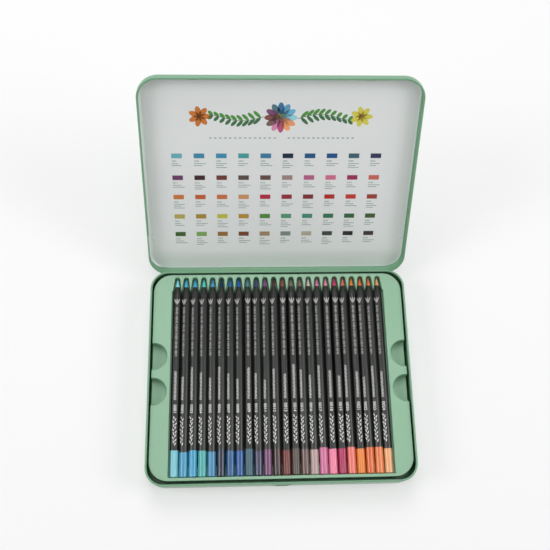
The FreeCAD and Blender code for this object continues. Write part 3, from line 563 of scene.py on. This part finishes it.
# %% [markdown]
# ## Dressing the upper pencils
# The loop gives each pencil its own dip colour and a dip edge that differs by a fraction of a millimetre,
# as dipping by the rack does. The lead is waxy, so it takes the grain group with a dull surface and a
# little colour drift.

# %% Upper pencils
DIP_EDGE = -0.0650
DIP_DRIFT = 0.0009
BOOST = 0.65
DIP_LEVEL, DIP_DEPTH = 0.95, 1.2
WAX_LEVEL, WAX_DEPTH = 1.2, 0.9


def barrel_finish(name, **inputs):
    """A material that places the barrel group."""
    material, tree, shader = finish_of(name, Specular_IOR_Level=0.6)
    coat = add(tree, "ShaderNodeGroup", {"node_tree": barrel}, **inputs)
    tree.links.new(coat.outputs["Colour"], shader.inputs["Base Color"])
    tree.links.new(coat.outputs["Roughness"], shader.inputs["Roughness"])
    bump = add(
        tree, "ShaderNodeBump",
        Height=coat.outputs["Height"], Normal=coat.outputs["Normal"], Distance=0.00004, Strength=0.5,
    )
    tree.links.new(bump.outputs[0], shader.inputs["Normal"])
    return material, tree, coat


def middle_of(name):
    """The middle of a node's box."""
    low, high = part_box(name)
    return (Vector(low) + Vector(high)) / 2


def strong(saturation):
    """Gloss washes colours out, strong ones most, so they start stronger."""
    return min(1.0, saturation * (1.0 + BOOST * saturation))


def dip_of(hue, saturation, value):
    """A dip's lacquer is deeper than the wax of the lead."""
    return hsv(hue, strong(saturation), DIP_LEVEL * value ** DIP_DEPTH)


def wax_of(hue, saturation, value):
    """Freshly cut wax is a little brighter."""
    return hsv(hue, strong(saturation), min(1.0, WAX_LEVEL * value ** WAX_DEPTH))


def wax_finish(name):
    """A dull waxy material whose grain group still needs a colour."""
    material, tree, shader = finish_of(name, Specular_IOR_Level=0.35)
    coat = grained(
        tree, shader, (0.5, 0.5, 0.5, 1.0), 0.00005,
        Cloud_Scale=300.0, Cloud_Amount=0.25, Grain_Scale=2200.0, Roughness=0.5,
    )
    return material, tree, coat


for count, (name, *colour) in enumerate(UPPER, start=1):
    title = name.replace(" ", "_")
    drift = DIP_DRIFT * math.sin(2.3 * count)
    middle = middle_of(f"upper_pencil_{count:02d}_casing")
    lacquered, _, _ = barrel_finish(
        f"barrel_dipped_{title}",
        Dip_Colour=dip_of(*colour), Dip_Edge=DIP_EDGE + drift, Axis_X=middle[0], Axis_Z=middle[2],
    )
    wear(lacquered, f"upper_pencil_{count:02d}_casing")
    waxy, _, coat = wax_finish(f"wax_{title}")
    coat.inputs["Colour"].default_value = wax_of(*colour)
    wear(waxy, f"upper_pencil_{count:02d}_core")
print("pencils dressed:", len(UPPER))

# %% [markdown]
# ## The lower set
# The lower pencils are one node for all barrels and one for all leads. A colour ramp with hard steps along
# X gives every pencil of the row its own colour from a single material.

# %% Lower pencils
low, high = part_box("lower_pencil_casings")


def stepped_row(tree, shade):
    """A ramp of hard colour steps across the row of lower pencils."""
    spot = add(tree, "ShaderNodeTexCoord").outputs["Object"]
    across = add(tree, "ShaderNodeSeparateXYZ", Vector=spot)
    share = add(tree, "ShaderNodeMapRange", Value=across.outputs["X"], From_Min=low[0], From_Max=high[0])
    ramp = add(tree, "ShaderNodeValToRGB", Fac=share.outputs[0])
    ramp.color_ramp.interpolation = "CONSTANT"
    stops = ramp.color_ramp.elements
    while len(stops) < len(LOWER):
        stops.new(1.0)
    for index, (_, *colour) in enumerate(LOWER):
        stops[index].position = index / len(LOWER)
        stops[index].color = shade(*colour)
    return ramp.outputs["Color"]


lacquered, tree, coat = barrel_finish("barrels_of_lower_set", Dip_Edge=DIP_EDGE)
pitch = (high[0] - low[0]) / len(LOWER)
spot = add(tree, "ShaderNodeTexCoord").outputs["Object"]
across = add(tree, "ShaderNodeSeparateXYZ", Vector=spot).outputs["X"]
start = add(tree, "ShaderNodeMath", {"operation": "SUBTRACT"}, i0=across, i1=low[0])
whole = add(tree, "ShaderNodeMath", {"operation": "SNAP"}, i0=start.outputs[0], i1=pitch)
axis = add(tree, "ShaderNodeMath", {"operation": "ADD"}, i0=whole.outputs[0], i1=low[0] + pitch / 2)
tree.links.new(axis.outputs[0], coat.inputs["Axis X"])
coat.inputs["Axis Z"].default_value = (low[2] + high[2]) / 2
tree.links.new(stepped_row(tree, dip_of), coat.inputs["Dip Colour"])
wear(lacquered, "lower_pencil_casings")
waxy, tree, coat = wax_finish("wax_of_lower_set")
tree.links.new(stepped_row(tree, wax_of), coat.inputs["Colour"])
wear(waxy, "lower_pencil_cores")
print("lower row from", round(low[0], 4), "to", round(high[0], 4))

# %% [markdown]
# ## Ink and foil as thin shapes
# Print could be painted in a texture, but flat shapes a few hundredths of a millimetre above the surface
# stay crisp at any distance and follow the piece they are printed on. A colour attribute called ink holds
# each shape's colour, so one material prints them all. The shapes are drawn flat, in millimetres, and
# carried to their surface by one matrix at the end.

# %% Printing helpers
MILLIMETRE = 0.001
DIGIT_SHARE, DIGIT_BOLDER = 0.7, 0.02


def start_print():
    """An empty drawing with an ink colour for each corner of a face."""
    bm = bmesh.new()
    return bm, bm.loops.layers.float_color.new("ink")


def colour_in(bm, ink, verts, colour):
    """Fill the faces of some vertices with one ink."""
    for face in {face for vert in verts for face in vert.link_faces}:
        for loop in face.loops:
            loop[ink] = colour


def print_bar(bm, ink, x, y, width, length, colour, turned=0.0):
    """A plain bar, centred on x and y."""
    place = Matrix.Translation((x, y, 0)) @ Matrix.Rotation(turned, 4, "Z")
    place = place @ Matrix.Diagonal((width, length, 1, 1))
    made = bmesh.ops.create_grid(bm, x_segments=1, y_segments=1, size=0.5, matrix=place)
    colour_in(bm, ink, made["verts"], colour)


def print_petal(bm, ink, x, y, length, width, turned, colour, segments=14):
    """An oval that starts at x and y and points along the turned direction."""
    place = Matrix.Translation((x, y, 0)) @ Matrix.Rotation(turned, 4, "Z")
    place = place @ Matrix.Translation((length / 2, 0, 0)) @ Matrix.Diagonal((length / 2, width / 2, 1, 1))
    made = bmesh.ops.create_circle(bm, cap_ends=True, segments=segments, radius=1.0, matrix=place)
    colour_in(bm, ink, made["verts"], colour)


def print_number(bm, ink, text, x, y, height, colour, turned=0.0):
    """Plain digits, centred on x and y."""
    curve = bpy.data.curves.new("digits", "FONT")
    curve.body = text
    curve.size = height / DIGIT_SHARE
    curve.resolution_u = 2
    curve.offset = DIGIT_BOLDER * height
    curve.align_x = "CENTER"
    curve.align_y = "CENTER"
    holder = bpy.data.objects.new("digits", curve)
    mesh = bpy.data.meshes.new_from_object(holder)
    known = set(bm.verts)
    bm.from_mesh(mesh)
    fresh = [vert for vert in bm.verts if vert not in known]
    place = Matrix.Translation((x, y, 0)) @ Matrix.Rotation(turned, 4, "Z")
    bmesh.ops.transform(bm, matrix=place, verts=fresh)
    colour_in(bm, ink, fresh, colour)
    bpy.data.objects.remove(holder)
    bpy.data.curves.remove(curve)
    bpy.data.meshes.remove(mesh)


def finish_print(bm, name, matrix, material, body):
    """Carry a drawing to its surface and let it ride with a body."""
    bmesh.ops.transform(bm, matrix=matrix @ Matrix.Scale(MILLIMETRE, 4), verts=bm.verts)
    piece = piece_from(bm, name)
    piece.data.materials.append(material)
    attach(piece, body)
    return piece


def ink_finish(name, roughness, **constants):
    """A material that takes its colour from the ink attribute, with the grain of the surface under it."""
    material, tree, shader = finish_of(name, **constants)
    colour = add(tree, "ShaderNodeAttribute", {"attribute_name": "ink"}).outputs["Color"]
    grained(
        tree, shader, colour, 0.00001,
        Cloud_Scale=120.0, Cloud_Amount=0.12, Grain_Scale=2600.0, Roughness=roughness,
    )
    return material


print("print helpers ready")

# %% [markdown]
# ## The colour chart inside the lid
# The inner panel carries a chart of all fifty colours in five rows of ten, each swatch with a plain number
# and a few short rules under it. The panel is a flat sheet at the lid's stop angle, so the drawing uses the
# lid's own plane: x across, y away from the hinges.

# %% Colour chart
CHART_LEFT = -88.7
CHART_PITCH = 19.13
CHART_ROWS = (116.9, 95.4, 75.8, 55.5, 36.5)
SWATCH = (9.2, 4.6)
DIGIT_HEIGHT = 1.5
NUMBER_RIGHT, NUMBER_DOWN = 2.4, 5.2
RULE_WIDTH, RULE_STEP, RULES_DOWN = 0.55, 1.9, 7.6
PRINT_SATURATION, PRINT_VALUE = 1.3, 0.84
INK_LIFT = 0.02
RULE_INK = hsv(0.40, 0.22, 0.58)
panel_plane = (
    Matrix.Translation(hinge + lid_out * (PANEL_LEVEL - MILLIMETRE * INK_LIFT))
    @ Matrix((Vector((1, 0, 0)), lid_away, -lid_out)).transposed().to_4x4()
)
chart_ink = ink_finish("chart_ink", 0.5, Specular_IOR_Level=0.35)
chart = [
    (hue, PRINT_SATURATION * saturation, PRINT_VALUE * value) for _, hue, saturation, value in UPPER
]
chart += [colour for _, *colour in LOWER]
bm, ink = start_print()
labels, label_ink = start_print()
for index, colour in enumerate(chart):
    x = CHART_LEFT + CHART_PITCH * (index % 10)
    y = CHART_ROWS[index // 10]
    print_bar(bm, ink, x, y, *SWATCH, hsv(*colour))
    left = x - SWATCH[0] / 2
    number_x, number_y = left + NUMBER_RIGHT, y - NUMBER_DOWN
    print_number(labels, label_ink, f"{index + 1:04d}", number_x, number_y, DIGIT_HEIGHT, RULE_INK)
    for line in range(2 + index * 7 % 3 // 2):
        length = 5.5 + (index * 5 + line * 3) % 6
        rule_y = y - RULES_DOWN - RULE_STEP * line
        print_bar(labels, label_ink, left + length / 2, rule_y, length, RULE_WIDTH, RULE_INK)
finish_print(bm, "chart_swatches", panel_plane, chart_ink, "lid")
finish_print(labels, "chart_labels", panel_plane, chart_ink, "lid")
print("swatches:", len(chart))

# %% [markdown]
# ## A garland above the chart
# The head of the panel has a decoration of the same colours and about the same size as such tins carry: a
# rosette of petals in the middle, and a leafy spray on each side with a yellow and an orange blossom. Ovals
# turned about a point make the petals and leaves, and thin bars the stems.

# %% Garland
LEAF = hsv(0.30, 0.55, 0.58)
DARK_LEAF = hsv(0.37, 0.45, 0.45)
STEM = hsv(0.40, 0.35, 0.45)
YELLOW = hsv(0.155, 0.62, 0.84)
ORANGE = hsv(0.075, 0.75, 0.80)
BROWN = hsv(0.06, 0.55, 0.30)
GARLAND_Y = 153.0
PETAL_WIDTH, HEART_LENGTH, HEART_WIDTH = 0.52, 0.5, 0.16
ROSETTE_PETALS, ROSETTE_PETAL, ROSETTE_HEART = 12, (14.0, 6.0), 5.0
SPRAY_LEAVES, SPRAY_START, SPRAY_STEP = 9, 17.0, 5.0
WAVE_HEIGHT, WAVE_RATE = 3.0, 0.5
STEM_PIECE = (5.4, 0.5)
LEAF_LENGTH, LEAF_TAPER, LEAF_WIDTH, LEAF_SPREAD = 8.5, 0.4, 3.0, 0.8
BLOSSOM_X, BLOSSOM_RISE, BLOSSOM_REACH, BLOSSOM_PETALS = 68.0, 1.0, 9.5, 7
DASHES, DASH_START, DASH_STEP, DASH_Y = 14, 6.0, 4.2, 134.0
DASH = (2.4, 0.9)
bm, ink = start_print()


def blossom(x, y, reach, petals, colour, heart):
    """Petals about a round heart."""
    for petal in range(petals):
        turned = 2 * math.pi * petal / petals
        print_petal(bm, ink, x, y, reach, reach * PETAL_WIDTH, turned, colour)
    for petal in range(petals):
        turned = 2 * math.pi * (petal + 0.5) / petals
        print_petal(bm, ink, x, y, reach * HEART_LENGTH, reach * HEART_WIDTH, turned, heart, 8)


for petal in range(ROSETTE_PETALS):
    _, *colour = UPPER[(petal * 2) % len(UPPER)]
    turned = 2 * math.pi * petal / ROSETTE_PETALS
    print_petal(bm, ink, 0, GARLAND_Y, *ROSETTE_PETAL, turned, hsv(*colour))
blossom(0, GARLAND_Y, ROSETTE_HEART, ROSETTE_PETALS // 2, YELLOW, BROWN)
for side in (-1, 1):
    for step in range(SPRAY_LEAVES):
        x = side * (SPRAY_START + SPRAY_STEP * step)
        y = GARLAND_Y + WAVE_HEIGHT * math.sin(WAVE_RATE * step) * side
        slope = WAVE_HEIGHT * WAVE_RATE / SPRAY_STEP * math.cos(WAVE_RATE * step)
        print_bar(bm, ink, x, y, *STEM_PIECE, STEM, slope)
        heading = 0 if side > 0 else math.pi
        length = LEAF_LENGTH - LEAF_TAPER * step
        for bend, leaf in ((LEAF_SPREAD, LEAF), (-LEAF_SPREAD, DARK_LEAF)):
            print_petal(bm, ink, x, y, length, LEAF_WIDTH, heading + side * bend, leaf)
blossom(-BLOSSOM_X, GARLAND_Y + BLOSSOM_RISE, BLOSSOM_REACH, BLOSSOM_PETALS, ORANGE, BROWN)
blossom(BLOSSOM_X, GARLAND_Y + BLOSSOM_RISE, BLOSSOM_REACH, BLOSSOM_PETALS, YELLOW, ORANGE)
for side in (-1, 1):
    for index in range(DASHES):
        x = side * (DASH_START + DASH_STEP * index)
        print_petal(bm, ink, x, DASH_Y, *DASH, 0.0, STEM, 8)
finish_print(bm, "chart_garland", panel_plane, chart_ink, "lid")

# %% [markdown]
# ## Foil on the barrels
# Barrels are stamped with silver foil along the face that shows. Here it is a plain ornament: a leaf near
# the point and a long row of bars in a duller silver, then a row of paired bars, the pencil's number and a
# small vine before the dip. A pencil that lies with an edge on top shows its left face, so its print is
# turned by a twelfth of a circle about the barrel's axis. The barrel's own box tells which way it lies,
# because with a flat on top it is wider than high, and its shorter side is twice the distance from the axis
# to a face.

# %% Foil stamping
SILVER = hsv(0.10, 0.02, 0.86)
WORN_SILVER = hsv(0.10, 0.02, 0.68)
EDGE_UP = math.radians(-30)
FOIL_LIFT = 0.02
LEAF_Y, ROW_Y, PAIRS_Y, NUMBER_Y, VINE_Y = 63.4, 61.0, -21.7, -29.8, -60.6
FOIL_LEAF, FOIL_SPREAD = (6.0, 1.0), 0.4
ROW_BARS, ROW_BAR, ROW_STEP = 52, 0.38, 0.78
ROW_WIDTHS = (2.2, 1.6, 2.2, 1.0, 2.2)
ROW_GROUP, ROW_BREAK = 9, 1.7
PAIRS_TOP, PAIR_STEP = 8.0, 1.2
LONG_BAR, SHORT_BAR = (2.2, 0.36), (1.0, 0.26)
SHORT_ASIDE, SHORT_ABOVE = 0.4, 0.6
NUMBER_HEIGHT = 2.7
VINE_LEAVES, VINE_LEAF, VINE_STEP, VINE_ASIDE = 14, (2.8, 0.95), 1.7, 0.3
foil = ink_finish("silver_foil", 0.42, Metallic=0.15)
for count in range(1, len(UPPER) + 1):
    low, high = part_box(f"upper_pencil_{count:02d}_casing")
    axis = Vector(((low[0] + high[0]) / 2, 0, (low[2] + high[2]) / 2))
    width, height = high[0] - low[0], high[2] - low[2]
    tilt = 0.0 if width > height else EDGE_UP
    bm, ink = start_print()
    for bend in (FOIL_SPREAD, 0.0, -FOIL_SPREAD):
        print_petal(bm, ink, 0, LEAF_Y, *FOIL_LEAF, math.pi / 2 + bend, WORN_SILVER, 10)
    y = ROW_Y
    for step in range(ROW_BARS):
        bar_width = ROW_WIDTHS[(step * 3 + count) % len(ROW_WIDTHS)]
        print_bar(bm, ink, 0, y, bar_width, ROW_BAR, WORN_SILVER)
        y -= ROW_BREAK if (step + 1) % ROW_GROUP == 0 else ROW_STEP
    y = PAIRS_Y
    while y < PAIRS_TOP - (count * 5) % 14:
        print_bar(bm, ink, 0, y, *LONG_BAR, SILVER)
        aside = SHORT_ASIDE if round(y) % 2 else -SHORT_ASIDE
        print_bar(bm, ink, aside, y + SHORT_ABOVE, *SHORT_BAR, SILVER)
        y += PAIR_STEP
    print_number(bm, ink, f"{count:04d}", 0, NUMBER_Y, NUMBER_HEIGHT, SILVER, math.radians(-90))
    for step in range(VINE_LEAVES):
        side = 1 if step % 2 else -1
        bend = 0.20 + 0.15 * ((step * 3 + count) % 4)
        heading = math.pi / 2 + side * bend
        print_petal(bm, ink, -VINE_ASIDE * side, VINE_Y + VINE_STEP * step, *VINE_LEAF, heading, SILVER, 8)
    lift = Matrix.Translation((0, 0, min(width, height) / 2 + MILLIMETRE * FOIL_LIFT))
    place = Matrix.Translation(axis) @ Matrix.Rotation(tilt, 4, "Y") @ lift
    finish_print(bm, f"pencil_{count:02d}_foil", place, foil, f"pencil_{count:02d}")
print("stamped barrels:", len(UPPER))
